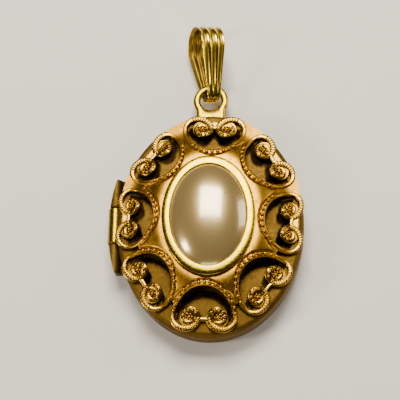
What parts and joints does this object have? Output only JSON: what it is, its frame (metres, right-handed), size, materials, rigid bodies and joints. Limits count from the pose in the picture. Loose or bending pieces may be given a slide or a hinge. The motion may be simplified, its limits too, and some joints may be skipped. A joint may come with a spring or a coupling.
{
  "type": "locket pendant",
  "caption": "Oval hinged locket pendant: pierced domed front with beaded arches and scrolls, oval pearl cabochon in a bezel, photo frames inside, ring and tapered bail.",
  "frame": {"origin": "centre of the flat field of the back, on the surface that the closed locket lies on", "axes": "+Z out of the front face, +Y towards the suspension ring and bail, +X to the wearer's left, away from the hinge"},
  "size_m": [0.0242, 0.0421, 0.0082],
  "materials": {
    "antique_gold": "matt antiqued gold plate, dark in the recesses",
    "case_gold": "satin aged gold plate",
    "polished_gold": "polished gold plate",
    "polished_brass": "polished",
    "inner_brass": "bright gold plate",
    "pin_steel": "drawn wire",
    "pearl": "pearlescent lacquer, glossy",
    "window": "clear acetate sheet",
    "card": "plain paper card"
  },
  "bodies": {
    "back_half": {"back_shell": "case_gold", "snap_rim": "inner_brass", "back_photo_card": "card", "back_photo_window": "window", "back_photo_frame": "inner_brass", "suspension_ring": "polished_brass", "hinge_knuckle_top": "case_gold", "hinge_knuckle_bottom": "case_gold", "hinge_pin": "pin_steel"},
    "front_half": {"front_shell": "case_gold", "front_photo_card": "card", "front_photo_window": "window", "front_photo_frame": "inner_brass", "openwork_dome": "antique_gold", "pearl_bezel": "polished_gold", "pearl_cabochon": "pearl", "hinge_knuckle_middle": "polished_brass"},
    "bail": {"bail": "polished_gold"}
  },
  "joints": [
    {"name": "lid_hinge", "type": "hinge", "parent": "back_half", "child": "front_half", "pos_m": [-0.01185, 0, 0.0026], "axis": [0, -1, 0], "range_deg": [0, 150]},
    {"name": "bail_swing", "type": "hinge", "parent": "back_half", "child": "bail", "pos_m": [0, 0.01879, 0.002], "axis": [0.979, 0.0809, -0.1871], "range_deg": [-90, 90]}
  ]
}
